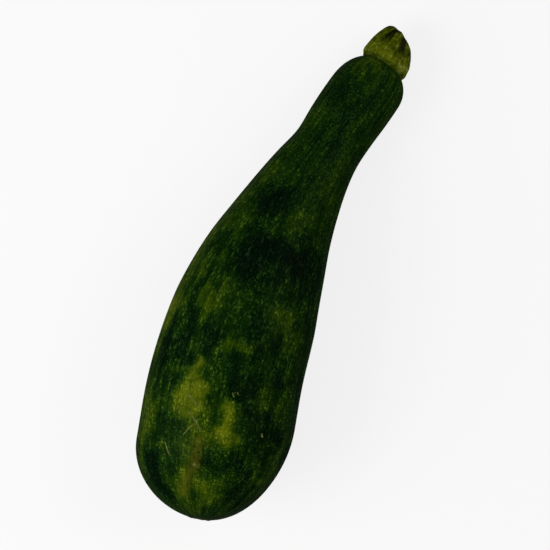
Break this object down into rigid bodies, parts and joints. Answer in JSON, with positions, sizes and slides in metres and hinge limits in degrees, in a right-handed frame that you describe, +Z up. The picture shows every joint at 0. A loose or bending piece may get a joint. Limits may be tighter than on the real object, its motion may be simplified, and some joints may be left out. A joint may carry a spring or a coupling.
{
  "type": "courgette",
  "caption": "Club-shaped dark green courgette with a thick blossom end, a narrow bent neck and a ridged cut stem stub, lying on its belly.",
  "frame": {"origin": "middle of the bounding box, at the level of the surface that the courgette lies on", "axes": "+X from the blossom end to the stem, along the longest extent; +Z up; the neck bends towards -Y"},
  "size_m": [0.2062, 0.0636, 0.0584],
  "materials": {
    "skin": "waxy dark green vegetable skin with fine pale flecks, satin",
    "stalk": "dull yellow-green plant stalk, fibrous where it is cut"
  },
  "bodies": {
    "root": {"fruit": "skin", "stem": "stalk"}
  },
  "joints": []
}
